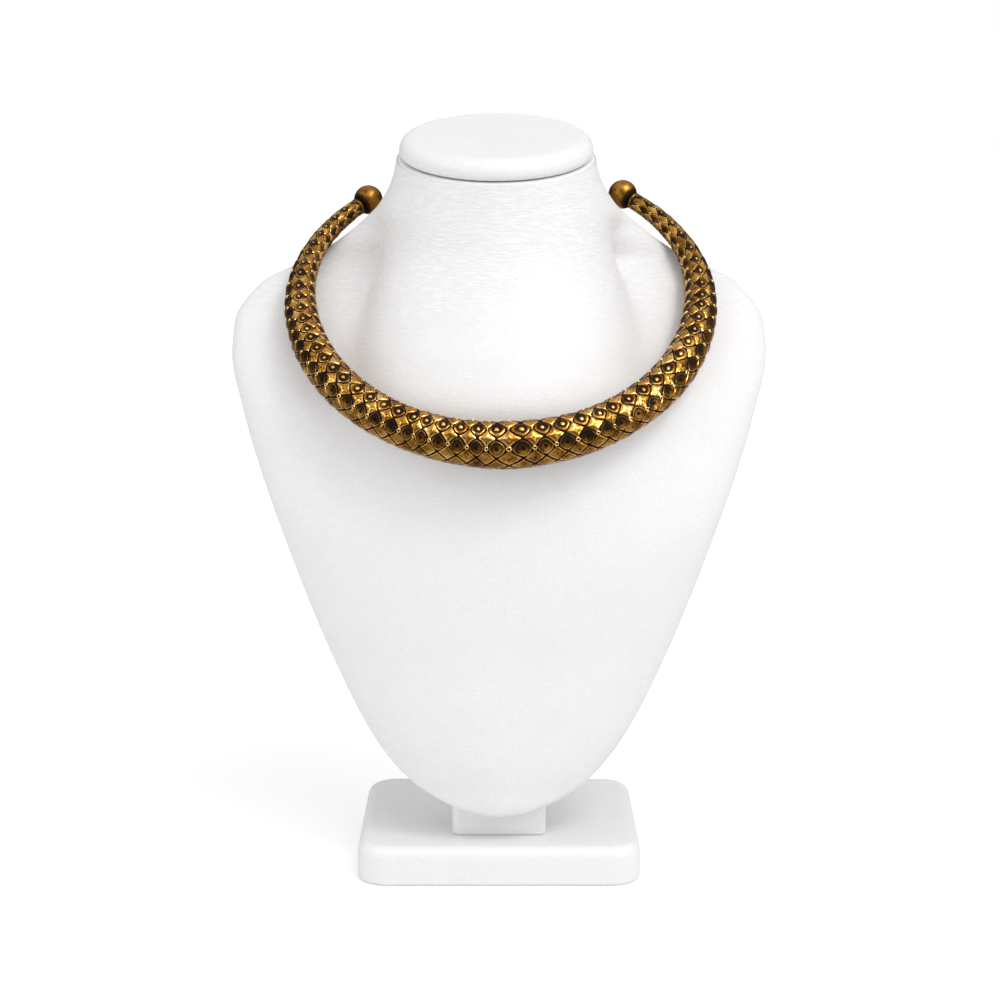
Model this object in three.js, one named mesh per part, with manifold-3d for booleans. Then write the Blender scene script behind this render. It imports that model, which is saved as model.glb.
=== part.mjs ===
// An open collar choker of antique brass, worn by a plain white display neck bust.
// Millimetres, +Z up, the front faces -Y, and the origin is the centre of the base's underside.
import * as THREE from "three";
import { mergeVertices } from "three/addons/utils/BufferGeometryUtils.js";
import Module from "manifold-3d";

const wasm = await Module();
wasm.setup();

// Clearances
const seatGap = 0.3; // between pieces that touch on the real thing
const stemPlay = 0.45; // round a finial's stem in the tube's bore

// Base block
const baseWidth = 102;
const baseDepth = 86;
const baseHeight = 14;
const baseCorner = 11; // plan radius of the four corners
const baseTopRound = 4;
const baseFootRound = 1.2;

// Post
const postWidth = 34;
const postDepth = 26;
const postCorner = 3;
const postSetForward = 15.5; // its centre in front of the base's
const postPlug = 30; // how far it goes up into the torso

// Torso
const torsoLift = 9; // its lowest tip above the base
const torsoHeight = 233.8; // tip to the centre of the slanted neck top
const torsoHalfWidth = 98;
const torsoDepth = 97; // chest front to the back of the neck
const neckSetBack = 14; // the neck's axis behind the base's centre
const neckSlant = 15; // degrees, front low
const neckSlantFrom = 0.74; // share of the height where the sections begin to slant
const neckShift = -1; // of the neck's top sideways, as the real one stands
const neckEdge = 1.2; // rounding of the neck's top edge
const torsoPoints = 48; // round a section
const torsoSlices = 2; // from each row of the table to the next

// Rows of numbers with named columns.
function table(columns, rows) {
  return rows.map((row) => Object.fromEntries(columns.map((column, i) => [column, row[i]])));
}

// The torso's sections, heights as shares of its height, widths of its half width, and places and
// depths of its depth. side and line are the widest point, front and back the shoulder plate's
// depth before and behind that line, power its front's superellipse power, core the half width of
// the chest and neck in the middle, and chest and spine where that middle ends before and behind.
const torsoRows = table(
  ["height", "side", "line", "front", "back", "power", "core", "chest", "spine"],
  [
    [0, 0, -0.35, 0, 0, 2.4, 0, -0.35, -0.35],
    [0.012, 0.152, -0.325, 0.065, 0.11, 2.4, 0.1, -0.39, -0.19],
    [0.046, 0.318, -0.26, 0.13, 0.2, 2.4, 0.22, -0.415, -0.03],
    [0.1, 0.441, -0.21, 0.2, 0.26, 2.4, 0.33, -0.435, 0.07],
    [0.23, 0.605, -0.18, 0.245, 0.29, 2.4, 0.46, -0.46, 0.13],
    [0.43, 0.793, -0.15, 0.28, 0.32, 2.4, 0.62, -0.488, 0.19],
    [0.62, 0.952, 0, 0.25, 0.29, 2.4, 0.585, -0.482, 0.3],
    [0.7, 0.998, 0.09, 0.2, 0.24, 2.3, 0.52, -0.415, 0.34],
    [0.745, 0.992, 0.155, 0.17, 0.2, 2.1, 0.495, -0.36, 0.37],
    [0.8, 0.902, 0.245, 0.14, 0.15, 1.9, 0.46, -0.304, 0.405],
    [0.84, 0.69, 0.325, 0.15, 0.11, 1.7, 0.43, -0.271, 0.43],
    [0.88, 0.549, 0.31, 0.2, 0.13, 1.7, 0.41, -0.247, 0.455],
    [0.925, 0.442, 0.22, 0.22, 0.2, 2, 0.397, -0.234, 0.48],
    [0.965, 0.388, 0.16, 0.2, 0.2, 2, 0.381, -0.229, 0.502],
    [1, 0.367, 0.144, 0.2, 0.2, 2, 0.367, -0.227, 0.515],
  ],
);
const backPower = 2.8; // of the plate's back
const joinPower = 6; // how sharply the middle stands out of the plate

// Cap on the neck
const capRadius = 35.2;
const capThickness = 7.5;

// Collar
const collarHalfWidth = 72.3; // to the tube's centre line
const collarFront = 78; // from the widest point forward, in the collar's own plane
const collarBack = 70.8; // the same ellipse's reach backward
const collarEnd = 138.3; // degrees from the front to each ball, of the ellipse's own angle
const collarTilt = 37.5; // degrees, front low
const collarTurn = 1.9; // degrees in its own plane, as it sits on the bust
const collarSetBack = 5.4; // the ellipse's centre behind the base's
const collarShift = 0.5; // and to the right
const collarRadius = 8.42; // of the tube in front
const collarWall = 0.9; // under the grooves

// The tube's radius as a share of its radius in front, from the front to the ends.
const taperRows = table(
  ["along", "radius"],
  [
    [0, 1],
    [0.2, 0.9],
    [0.4, 0.84],
    [0.6, 0.735],
    [0.8, 0.495],
    [1, 0.365],
  ],
);

// The cast relief: a staggered lattice of diamonds round the tube, with grooves between them.
const latticeRows = 7; // diamonds round the tube
const latticeStart = 35; // degrees from the collar's outer edge up to a row of eyes
const eyeRows = [0, 4, 10]; // half rows that hold eyes; the other even ones hold bosses, the odd ones stars
const cellLengths = [6, 6.9]; // of a diamond along the tube, left and right of the front
const jointEvery = 10; // half columns from one joint of the casting to the next
const jointWidths = [1.3, 0.75]; // of the half columns beside a joint, wide and narrow in turn
const grooveDepth = 0.55; // in front, smaller as the tube tapers
const bossDrop = 0.15; // of a boss below a star
const eyePit = 0.75; // depth of the pit in an eye
const eyeRing = 0.55; // share of the way from an eye's centre to its corners
const boreStep = 3; // half cells from one ring of the inner wall to the next

// Finials
const ballRadius = 5.45;
const ringRadius = 3.25;
const ringLength = 1.5;
const finialNeck = 2.6; // of the turned neck between ring and ball
const stemLength = 4;
const finialSides = 32;

// Surfaces
const whiteLeatherette = { color: 0xf4f3f1, roughness: 0.55, metalness: 0 };
const antiqueBrass = { color: 0x8a6428, roughness: 0.4, metalness: 1 };

const toRadians = THREE.MathUtils.degToRad;

function namedMesh(name, geometry, surface) {
  const mesh = new THREE.Mesh(geometry, new THREE.MeshStandardMaterial(surface));
  mesh.name = name;
  return mesh;
}

// A smooth curve through a table's column that never overshoots its rows.
function columnAt(rows, place, column, at) {
  const last = rows.length - 2;
  let k = rows.findIndex((row, i) => i > last || at < rows[i + 1][place]);
  k = Math.min(Math.max(k, 0), last);
  const slope = (i) =>
    (rows[i + 1][column] - rows[i][column]) / (rows[i + 1][place] - rows[i][place]);
  const tangent = (i) => {
    if (i === 0) return slope(0);
    if (i === rows.length - 1) return slope(last);
    const before = slope(i - 1);
    const after = slope(i);
    return before * after <= 0 ? 0 : (2 * before * after) / (before + after);
  };
  const span = rows[k + 1][place] - rows[k][place];
  const t = (at - rows[k][place]) / span;
  return (
    rows[k][column] * (1 + 2 * t) * (1 - t) ** 2 +
    rows[k + 1][column] * t * t * (3 - 2 * t) +
    span * (tangent(k) * t * (1 - t) ** 2 - tangent(k + 1) * t * t * (1 - t))
  );
}

// A closed body through rings of points, closed by a fan at the first and the last ring.
function loft(rings, tip = centreOf(rings[0])) {
  const around = rings[0].length;
  const corners = rings.flat();
  const faces = [];
  const bottom = corners.push(tip) - 1;
  const top = corners.push(centreOf(rings[rings.length - 1])) - 1;
  const lastRing = (rings.length - 1) * around;
  for (let i = 0; i < around; i += 1) {
    const next = (i + 1) % around;
    faces.push(bottom, next, i);
    faces.push(top, lastRing + i, lastRing + next);
    for (let ring = 0; ring < lastRing; ring += around) {
      faces.push(ring + i, ring + next, ring + around + next);
      faces.push(ring + i, ring + around + next, ring + around + i);
    }
  }
  return surfaceOf(corners, faces);
}

function centreOf(points) {
  const centre = new THREE.Vector3();
  points.forEach((point) => centre.add(point));
  return centre.divideScalar(points.length);
}

function surfaceOf(corners, faces) {
  const geometry = new THREE.BufferGeometry();
  geometry.setAttribute(
    "position",
    new THREE.Float32BufferAttribute(corners.flatMap((point) => point.toArray()), 3),
  );
  geometry.setIndex(faces);
  return geometry;
}

function toSolid(geometry) {
  const bare = geometry.clone();
  bare.deleteAttribute("normal");
  bare.deleteAttribute("uv");
  const merged = mergeVertices(bare, 1e-4);
  return new wasm.Manifold(
    new wasm.Mesh({
      numProp: 3,
      vertProperties: merged.attributes.position.array,
      triVerts: new Uint32Array(merged.index.array),
    }),
  );
}

function fromSolid(solid) {
  const { vertProperties, triVerts } = solid.getMesh();
  const geometry = new THREE.BufferGeometry();
  geometry.setAttribute("position", new THREE.BufferAttribute(vertProperties, 3));
  geometry.setIndex(new THREE.BufferAttribute(triVerts, 1));
  return geometry;
}

// A rounded rectangle about the origin, as a Shape.
function roundedRectangle(width, depth, corner) {
  const x = width / 2;
  const y = depth / 2;
  const shape = new THREE.Shape();
  shape.absarc(x - corner, y - corner, corner, 0, Math.PI / 2);
  shape.absarc(corner - x, y - corner, corner, Math.PI / 2, Math.PI);
  shape.absarc(corner - x, corner - y, corner, Math.PI, Math.PI * 1.5);
  shape.absarc(x - corner, corner - y, corner, Math.PI * 1.5, Math.PI * 2);
  shape.closePath();
  return shape;
}

function baseBlock() {
  const edgeSteps = 4;
  const cornerSteps = 6;
  const ring = (inset, height) =>
    roundedRectangle(baseWidth - 2 * inset, baseDepth - 2 * inset, baseCorner - inset)
      .extractPoints(cornerSteps)
      .shape.map((point) => new THREE.Vector3(point.x, point.y, height));
  const rings = [];
  for (let step = 0; step <= edgeSteps; step += 1) {
    const turn = (step / edgeSteps) * (Math.PI / 2);
    rings.push(ring(baseFootRound * (1 - Math.sin(turn)), baseFootRound * (1 - Math.cos(turn))));
  }
  for (let step = 0; step <= edgeSteps; step += 1) {
    const turn = (step / edgeSteps) * (Math.PI / 2);
    rings.push(
      ring(baseTopRound * (1 - Math.cos(turn)), baseHeight - baseTopRound * (1 - Math.sin(turn))),
    );
  }
  return namedMesh("base_block", loft(rings), whiteLeatherette);
}

const postLength = torsoLift + postPlug;

function postSolid(spare, length) {
  const outline = roundedRectangle(postWidth + 2 * spare, postDepth + 2 * spare, postCorner + spare);
  const geometry = new THREE.ExtrudeGeometry(outline, {
    depth: length,
    bevelEnabled: false,
    curveSegments: 4,
  });
  return geometry.translate(0, -postSetForward, baseHeight);
}

function post() {
  return namedMesh("post", postSolid(0, postLength), whiteLeatherette);
}

const torsoFoot = baseHeight + torsoLift;

// The rows are read by the root of the height, which spreads them out near the round tip.
const torsoClimb = torsoRows.map((row) => ({ ...row, climb: Math.sqrt(row.height) }));

// The sizes of the torso's section at a share of its height.
function torsoSection(height) {
  const climb = Math.sqrt(height);
  const row = { power: columnAt(torsoClimb, "climb", "power", climb) };
  for (const column of ["side", "core"])
    row[column] = columnAt(torsoClimb, "climb", column, climb) * torsoHalfWidth;
  for (const column of ["line", "front", "back", "chest", "spine"])
    row[column] = columnAt(torsoClimb, "climb", column, climb) * torsoDepth;
  const rise = Math.max(0, (height - neckSlantFrom) / (1 - neckSlantFrom));
  const ease = rise * rise * (3 - 2 * rise);
  row.slant = toRadians(neckSlant) * ease;
  row.shift = neckShift * ease ** 2;
  const rest = Math.max(0, row.side ** joinPower - row.core ** joinPower);
  row.plate = rest ** (1 / joinPower);
  return row;
}

// How far the section reaches from its widest line, in a direction round it.
function sectionReach(row, direction) {
  const x = Math.cos(direction);
  const y = Math.sin(direction);
  const power = y < 0 ? row.power : backPower;
  const depth = y < 0 ? row.front : row.back;
  let plate = 0;
  if (row.plate > 0 && depth > 0)
    plate = (Math.abs(x / row.plate) ** power + Math.abs(y / depth) ** power) ** (-1 / power);
  const halfDepth = (row.spine - row.chest) / 2;
  const offset = (row.spine + row.chest) / 2 - row.line;
  if (row.core <= 0 || halfDepth <= 0) return plate;
  const a = (x / row.core) ** 2 + (y / halfDepth) ** 2;
  const b = (y * offset) / halfDepth ** 2;
  const c = (offset / halfDepth) ** 2 - 1;
  const middle = (b + Math.sqrt(Math.max(0, b * b - a * c))) / a;
  return (plate ** joinPower + middle ** joinPower) ** (1 / joinPower);
}

function sectionRing(height, shrink, sink) {
  const row = torsoSection(height);
  const ring = [];
  for (let i = 0; i < torsoPoints; i += 1) {
    const direction = (i / torsoPoints) * Math.PI * 2;
    const reach = sectionReach(row, direction) - shrink;
    const back = row.line + reach * Math.sin(direction) - neckSetBack;
    ring.push(
      new THREE.Vector3(
        row.shift + reach * Math.cos(direction),
        neckSetBack + back * Math.cos(row.slant) + sink * Math.sin(row.slant),
        torsoFoot + height * torsoHeight + back * Math.sin(row.slant) - sink * Math.cos(row.slant),
      ),
    );
  }
  return ring;
}

function torsoHeights() {
  const heights = [];
  for (let k = 0; k < torsoClimb.length - 1; k += 1) {
    const from = torsoClimb[k].climb;
    const to = torsoClimb[k + 1].climb;
    for (let step = 1; step <= torsoSlices; step += 1)
      heights.push((from + ((to - from) * step) / torsoSlices) ** 2);
  }
  heights.pop();
  return heights;
}

function bustTorso() {
  const rings = torsoHeights().map((height) => sectionRing(height, 0, 0));
  for (const turn of [0, Math.PI / 4, Math.PI / 2])
    rings.push(
      sectionRing(1, neckEdge * (1 - Math.cos(turn)), neckEdge * (1 - Math.sin(turn))),
    );
  const tip = new THREE.Vector3(0, torsoRows[0].line * torsoDepth, torsoFoot);
  const socket = toSolid(postSolid(seatGap, postLength + seatGap));
  return namedMesh("bust_torso", fromSolid(toSolid(loft(rings, tip)).subtract(socket)), whiteLeatherette);
}

// A covered disc with a full round rim, in the slanted plane of the neck's top.
function neckCap() {
  const rim = capThickness / 2;
  const rimSteps = 8;
  const profile = [new THREE.Vector2(0, 0)];
  for (let step = 0; step <= rimSteps; step += 1) {
    const turn = Math.PI * (step / rimSteps - 0.5);
    profile.push(new THREE.Vector2(capRadius - rim + rim * Math.cos(turn), rim + rim * Math.sin(turn)));
  }
  profile.push(new THREE.Vector2(0, capThickness));
  const disc = new THREE.LatheGeometry(profile, torsoPoints).rotateX(Math.PI / 2);
  const cap = namedMesh("neck_cap", disc.translate(0, 0, seatGap), whiteLeatherette);
  cap.position.set(neckShift, neckSetBack, torsoFoot + torsoHeight);
  cap.rotation.x = toRadians(neckSlant);
  return cap;
}

// The collar's centre line, an ellipse in the plane z = 0, measured by its length from the left.
function makeCollarPath() {
  const steps = 480;
  const points = [];
  const lengths = [0];
  for (let step = 0; step <= steps; step += 1) {
    const turn = toRadians(collarEnd) * ((2 * step) / steps - 1);
    const reach = Math.cos(turn) > 0 ? collarFront : collarBack;
    points.push(new THREE.Vector3(collarHalfWidth * Math.sin(turn), -reach * Math.cos(turn), 0));
    if (step > 0) lengths.push(lengths[step - 1] + points[step].distanceTo(points[step - 1]));
  }
  const total = lengths[steps];
  const at = (length) => {
    const k = Math.min(Math.max(lengths.findIndex((end) => end > length) - 1, 0), steps - 1);
    const hold = length >= total ? steps - 1 : k;
    const along = points[hold + 1].clone().sub(points[hold]).normalize();
    const share = (length - lengths[hold]) / (lengths[hold + 1] - lengths[hold]);
    const point = points[hold].clone().lerp(points[hold + 1], share);
    return { point, along, outward: new THREE.Vector3(along.y, -along.x, 0) };
  };
  return { total, at };
}

const collarPath = makeCollarPath();

function tubeRadius(length) {
  const along = Math.min(1, Math.abs((2 * length) / collarPath.total - 1));
  return columnAt(taperRows, "along", "radius", along) * collarRadius;
}

// The tube ends short of each ball, where the finial's ring seats on it.
const finialReach = Math.sqrt(ballRadius ** 2 - finialNeck ** 2) + ringLength + seatGap;
const tubeStart = finialReach;
const tubeEnd = collarPath.total - finialReach;

// A point of the tube, by length, by turn from the outer edge upwards, and by radius.
function tubePoint(length, turn, radius) {
  const { point, outward } = collarPath.at(length);
  return point
    .addScaledVector(outward, radius * Math.cos(turn))
    .add(new THREE.Vector3(0, 0, radius * Math.sin(turn)));
}

// The width of a half column, beside a joint or between joints.
function columnWidth(fromFront) {
  const joint = Math.round(fromFront / jointEvery);
  const beside = Math.abs(fromFront - joint * jointEvery) < 1;
  return beside ? jointWidths[joint % jointWidths.length] : 1;
}

// How far from the front the half columns of one side reach.
function sideReaches(cellLength) {
  const length = (tubeEnd - tubeStart) / 2;
  const columns = 2 * Math.round(length / cellLength - 0.5) + 1;
  const widths = Array.from({ length: columns }, (_, column) => columnWidth(column + 0.5));
  const whole = widths.reduce((sum, width) => sum + width, 0);
  let passed = 0;
  return widths.map((width) => {
    passed += width;
    return (passed / whole) * length;
  });
}

// Where each half column of the lattice lies. A side has an odd number of them, so that a joint
// lies in the middle of the front, between two eyes.
function makeColumns() {
  const front = (tubeStart + tubeEnd) / 2;
  const [left, right] = cellLengths.map(sideReaches);
  const leftPlaces = left.reverse().map((reach) => front - reach);
  return [...leftPlaces, front, ...right.map((reach) => front + reach)];
}

const columnPlaces = makeColumns();
const turnStep = Math.PI / latticeRows;

function latticePoint(row, column, drop) {
  const low = Math.floor(column);
  const high = Math.min(low + 1, columnPlaces.length - 1);
  const length = columnPlaces[low] + (columnPlaces[high] - columnPlaces[low]) * (column - low);
  const radius = tubeRadius(length);
  const turn = toRadians(latticeStart) + row * turnStep;
  return tubePoint(length, turn, radius * (1 - drop / collarRadius));
}

const isEyeRow = (row) => eyeRows.includes(row);
const isBossRow = (row) => row % 2 === 0 && !isEyeRow(row);

function collarTube() {
  const rows = 2 * latticeRows;
  const columns = columnPlaces.length - 1;
  const corners = [];
  const faces = [];
  const add = (point) => corners.push(point) - 1;

  const outer = [];
  for (let column = 0; column <= columns; column += 1)
    for (let row = 0; row < rows; row += 1) {
      const crossing = (row + column) % 2 !== 0;
      let drop = isBossRow(row) ? bossDrop : 0;
      if (isEyeRow(row)) drop = eyePit;
      outer.push(add(latticePoint(row, column, crossing ? grooveDepth : drop)));
    }
  const outerAt = (row, column) => outer[column * rows + ((row + rows) % rows)];

  // One side of a diamond: its centre and two neighbouring crossings.
  const addSide = (row, column, first, second) => {
    const centre = outerAt(row, column);
    const a = outerAt(row + first[0], column + first[1]);
    const b = outerAt(row + second[0], column + second[1]);
    if (!isEyeRow(row) || column === 0 || column === columns) {
      faces.push(centre, a, b);
      return;
    }
    const ringA = eyeCorner(row, column, first);
    const ringB = eyeCorner(row, column, second);
    faces.push(centre, ringA, ringB, ringA, a, b, ringA, b, ringB);
  };
  const eyeCorners = new Map();
  const eyeCorner = (row, column, [up, along]) => {
    const key = [row, column, up, along].join();
    if (!eyeCorners.has(key))
      eyeCorners.set(key, add(latticePoint(row + up * eyeRing, column + along * eyeRing, 0)));
    return eyeCorners.get(key);
  };
  for (let row = 0; row < rows; row += 1)
    for (let column = row % 2; column <= columns; column += 2) {
      if (column < columns) {
        addSide(row, column, [-1, 0], [0, 1]);
        addSide(row, column, [0, 1], [1, 0]);
      }
      if (column > 0) {
        addSide(row, column, [1, 0], [0, -1]);
        addSide(row, column, [0, -1], [-1, 0]);
      }
    }

  const boreColumns = [];
  for (let column = 0; column < columns; column += boreStep) boreColumns.push(column);
  if (columns - boreColumns.at(-1) < boreStep / 2) boreColumns.pop();
  boreColumns.push(columns);
  const bore = boreColumns.map((column) =>
    Array.from({ length: rows }, (_, row) => add(borePoint(row, column))),
  );
  for (let row = 0; row < rows; row += 1) {
    const next = (row + 1) % rows;
    for (let k = 0; k < bore.length - 1; k += 1) {
      faces.push(bore[k][row], bore[k + 1][next], bore[k + 1][row]);
      faces.push(bore[k][row], bore[k][next], bore[k + 1][next]);
    }
    const last = bore.length - 1;
    faces.push(outerAt(row, 0), outerAt(next, 0), bore[0][next]);
    faces.push(outerAt(row, 0), bore[0][next], bore[0][row]);
    faces.push(outerAt(next, columns), outerAt(row, columns), bore[last][row]);
    faces.push(outerAt(next, columns), bore[last][row], bore[last][next]);
  }
  return namedMesh("collar_tube", surfaceOf(corners, faces), antiqueBrass);
}

const boreRadius = (length) =>
  tubeRadius(length) * (1 - grooveDepth / collarRadius) - collarWall;

function borePoint(row, column) {
  const length = columnPlaces[column];
  const turn = toRadians(latticeStart) + row * turnStep;
  return tubePoint(length, turn, boreRadius(length));
}

// Stem, ring, turned neck and ball in one, along +Y from the tube's end.
function finial(name, length, facing) {
  const stemRadius = boreRadius(length) - stemPlay;
  const ballCentre = finialReach - seatGap;
  const ringSteps = 4;
  const ballSteps = 8;
  const profile = [new THREE.Vector2(0, -stemLength), new THREE.Vector2(stemRadius, -stemLength)];
  profile.push(new THREE.Vector2(stemRadius, 0));
  const ringHalf = ringLength / 2;
  for (let step = 0; step <= ringSteps; step += 1) {
    const turn = Math.PI * (step / ringSteps - 0.5);
    profile.push(
      new THREE.Vector2(
        ringRadius - ringHalf + ringHalf * Math.cos(turn),
        ringHalf + ringHalf * Math.sin(turn),
      ),
    );
  }
  const ballFrom = Math.acos(finialNeck / ballRadius);
  for (let step = 0; step <= ballSteps; step += 1) {
    const turn = -ballFrom + (step / ballSteps) * (Math.PI / 2 + ballFrom);
    const radius = step < ballSteps ? ballRadius * Math.cos(turn) : 0;
    profile.push(new THREE.Vector2(radius, ballCentre + ballRadius * Math.sin(turn)));
  }
  const piece = namedMesh(name, new THREE.LatheGeometry(profile, finialSides), antiqueBrass);
  const { point, along } = collarPath.at(length);
  const axis = along.multiplyScalar(facing);
  piece.position.copy(point.addScaledVector(axis, seatGap));
  piece.quaternion.setFromUnitVectors(new THREE.Vector3(0, 1, 0), axis);
  return piece;
}

// How far a point lies outside the torso, along the section it lies in. Its gradient turns that
// into a distance square to the surface.
function outsideTorso(point) {
  const back = point.y - neckSetBack;
  let height = (point.z - torsoFoot) / torsoHeight;
  for (let pass = 0; pass < 4; pass += 1) {
    const { slant } = torsoSection(Math.min(Math.max(height, 0), 1));
    height = (point.z - torsoFoot - back * Math.tan(slant)) / torsoHeight;
  }
  if (height <= 0 || height >= 1) return Infinity;
  const row = torsoSection(height);
  const x = point.x - row.shift;
  const y = neckSetBack + back / Math.cos(row.slant) - row.line;
  return Math.hypot(x, y) - sectionReach(row, Math.atan2(y, x));
}

function clearance(point) {
  const step = 0.2;
  const near = 20;
  const outside = outsideTorso(point);
  if (outside > near) return outside;
  const slopes = ["x", "y", "z"].map((axis) => {
    const moved = point.clone();
    moved[axis] += step;
    return (outsideTorso(moved) - outside) / step;
  });
  const steepness = Math.hypot(...slopes);
  return Number.isFinite(steepness) ? outside / Math.max(1, steepness) : outside;
}

// The collar comes down over the neck until it rests on the chest and shoulders.
function seatCollar(collar) {
  const stations = 60;
  const sides = 12;
  const skin = [];
  for (let station = 0; station <= stations; station += 1)
    for (let side = 0; side < sides; side += 1) {
      const length = tubeStart + ((tubeEnd - tubeStart) * station) / stations;
      skin.push(tubePoint(length, (side / sides) * Math.PI * 2, tubeRadius(length)));
    }
  collar.updateMatrixWorld(true);
  const turned = skin.map((point) => point.applyMatrix4(collar.matrixWorld));
  const clearAt = (height) =>
    turned.every((point) => clearance(new THREE.Vector3(point.x, point.y, point.z + height)) >= seatGap);
  const coarse = 2;
  let low = torsoFoot + torsoHeight;
  while (low > torsoFoot && clearAt(low - coarse)) low -= coarse;
  let high = low;
  low -= coarse;
  while (high - low > 0.01) {
    const middle = (high + low) / 2;
    if (clearAt(middle)) high = middle;
    else low = middle;
  }
  collar.position.z = high;
}

function collarGroup() {
  const collar = new THREE.Group();
  collar.position.set(collarShift, collarSetBack, 0);
  collar.rotation.set(toRadians(collarTilt), 0, toRadians(collarTurn));
  collar.add(collarTube());
  collar.add(finial("finial_left", tubeStart, -1));
  collar.add(finial("finial_right", tubeEnd, 1));
  seatCollar(collar);
  return collar;
}

const necklaceOnBust = new THREE.Group();
necklaceOnBust.add(baseBlock(), post(), bustTorso(), neckCap(), collarGroup());

export default necklaceOnBust;
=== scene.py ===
import math

import bmesh
import bpy
from mathutils import Matrix, Vector


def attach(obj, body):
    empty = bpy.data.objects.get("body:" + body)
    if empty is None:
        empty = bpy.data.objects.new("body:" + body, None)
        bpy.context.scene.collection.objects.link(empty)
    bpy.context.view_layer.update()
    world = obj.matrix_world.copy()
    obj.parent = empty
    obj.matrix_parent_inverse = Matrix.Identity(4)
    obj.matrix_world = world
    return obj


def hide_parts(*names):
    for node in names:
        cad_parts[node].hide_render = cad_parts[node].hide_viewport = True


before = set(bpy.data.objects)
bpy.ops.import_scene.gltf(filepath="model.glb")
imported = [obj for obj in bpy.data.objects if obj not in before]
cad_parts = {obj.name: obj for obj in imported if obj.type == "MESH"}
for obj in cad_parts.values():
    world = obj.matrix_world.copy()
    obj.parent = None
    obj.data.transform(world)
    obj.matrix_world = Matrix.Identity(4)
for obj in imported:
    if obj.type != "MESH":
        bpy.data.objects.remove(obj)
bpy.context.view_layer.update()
scene = bpy.context.scene
mm = 0.001

# Camera, at the photograph's angle
camera = bpy.data.objects.new("camera", bpy.data.cameras.new("camera"))
scene.collection.objects.link(camera)
camera.location = (0, -0.758, 0.265)
camera.rotation_euler = (math.radians(90 - 9.911), 0, 0)
camera.data.lens = 75.6
camera.data.sensor_width = 36
camera.data.shift_x = 0.001
camera.data.clip_start = 0.01
camera.data.clip_end = 100
scene.camera = camera


# Small helpers
def columnAt(rows, place, column, at):  # smooth curve through a table's column, never past its rows
    last = len(rows) - 2
    k = 0
    while k < last and at >= rows[k + 1][place]:
        k += 1

    def slope(i):
        return (rows[i + 1][column] - rows[i][column]) / (rows[i + 1][place] - rows[i][place])

    def tangent(i):
        if i == 0:
            return slope(0)
        if i == len(rows) - 1:
            return slope(last)
        before, after = slope(i - 1), slope(i)
        return 0 if before * after <= 0 else 2 * before * after / (before + after)

    span = rows[k + 1][place] - rows[k][place]
    t = (at - rows[k][place]) / span
    return (
        rows[k][column] * (1 + 2 * t) * (1 - t) ** 2
        + rows[k + 1][column] * t * t * (3 - 2 * t)
        + span * (tangent(k) * t * (1 - t) ** 2 - tangent(k + 1) * t * t * (1 - t))
    )


def table(columns, rows):
    return [dict(zip(columns, row)) for row in rows]


def makeObject(name, points, faces, unit=mm):
    mesh = bpy.data.meshes.new(name)
    mesh.from_pydata([[c * unit for c in p] for p in points], [], faces)
    mesh.update()
    obj = bpy.data.objects.new(name, mesh)
    scene.collection.objects.link(obj)
    return obj


def tidyMesh(obj, sharpest):  # outward faces, smooth but for edges over the angle
    bm = bmesh.new()
    bm.from_mesh(obj.data)
    bmesh.ops.recalc_face_normals(bm, faces=bm.faces)
    bm.to_mesh(obj.data)
    bm.free()
    obj.data.shade_smooth()
    obj.data.set_sharp_from_angle(angle=math.radians(sharpest))


def loftFaces(rings, around):
    faces = []
    for k in range(rings - 1):
        for i in range(around):
            j = (i + 1) % around
            faces.append((k * around + i, k * around + j, (k + 1) * around + j, (k + 1) * around + i))
    return faces


def bakeModifiers(obj):  # the evaluated shape becomes the plain mesh
    shape = bpy.data.meshes.new_from_object(obj.evaluated_get(bpy.context.evaluated_depsgraph_get()))
    obj.modifiers.clear()
    old = obj.data
    obj.data = shape
    bpy.data.meshes.remove(old)


def finishPiece(obj, nodeName, material):
    obj.data.materials.clear()
    obj.data.materials.append(material)
    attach(obj, "root")
    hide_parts(nodeName)
    print(nodeName, len(obj.data.polygons), "faces")


# Node helpers, for shaders and geometry alike
def addNode(tree, kind, settings=None, **values):
    node = tree.nodes.new(kind)
    for key, value in (settings or {}).items():
        setattr(node, key, value)
    for key, value in values.items():
        socket = node.inputs[int(key[1:])] if key[1:].isdigit() else node.inputs[key]
        if isinstance(value, bpy.types.NodeSocket):
            tree.links.new(value, socket)
        else:
            socket.default_value = value
    return node


def maths(tree, operation, a, b=0.0, c=0.0, clamp=False):
    settings = {"operation": operation, "use_clamp": clamp}
    return addNode(tree, "ShaderNodeMath", settings, i0=a, i1=b, i2=c).outputs[0]


def vectors(tree, operation, a, b=(0, 0, 0)):
    return addNode(tree, "ShaderNodeVectorMath", {"operation": operation}, i0=a, i1=b).outputs[0]


def scaled(tree, vector, factor):
    node = addNode(tree, "ShaderNodeVectorMath", {"operation": "SCALE"}, i0=vector, Scale=factor)
    return node.outputs[0]


def spread(tree, value, low, high, start=0.0, end=1.0):  # smooth step from low to high
    settings = {"interpolation_type": "SMOOTHSTEP"}
    node = addNode(tree, "ShaderNodeMapRange", settings, i0=value, i1=low, i2=high, i3=start, i4=end)
    return node.outputs[0]


def mix(tree, share, a, b):
    return addNode(tree, "ShaderNodeMix", None, Factor=share, A=a, B=b).outputs[0]


def noise(tree, place, scale, detail, output="Fac"):
    node = addNode(tree, "ShaderNodeTexNoise", None, Vector=place, Scale=scale, Detail=detail)
    return node.outputs[output]


def ramp(tree, value, stops):
    node = addNode(tree, "ShaderNodeValToRGB", None, Fac=value)
    elements = node.color_ramp.elements
    while len(elements) < len(stops):
        elements.new(0.5)
    for element, (place, colour) in zip(elements, stops):
        element.position = place
        element.color = (*colour, 1)
    return node.outputs[0]


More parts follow.
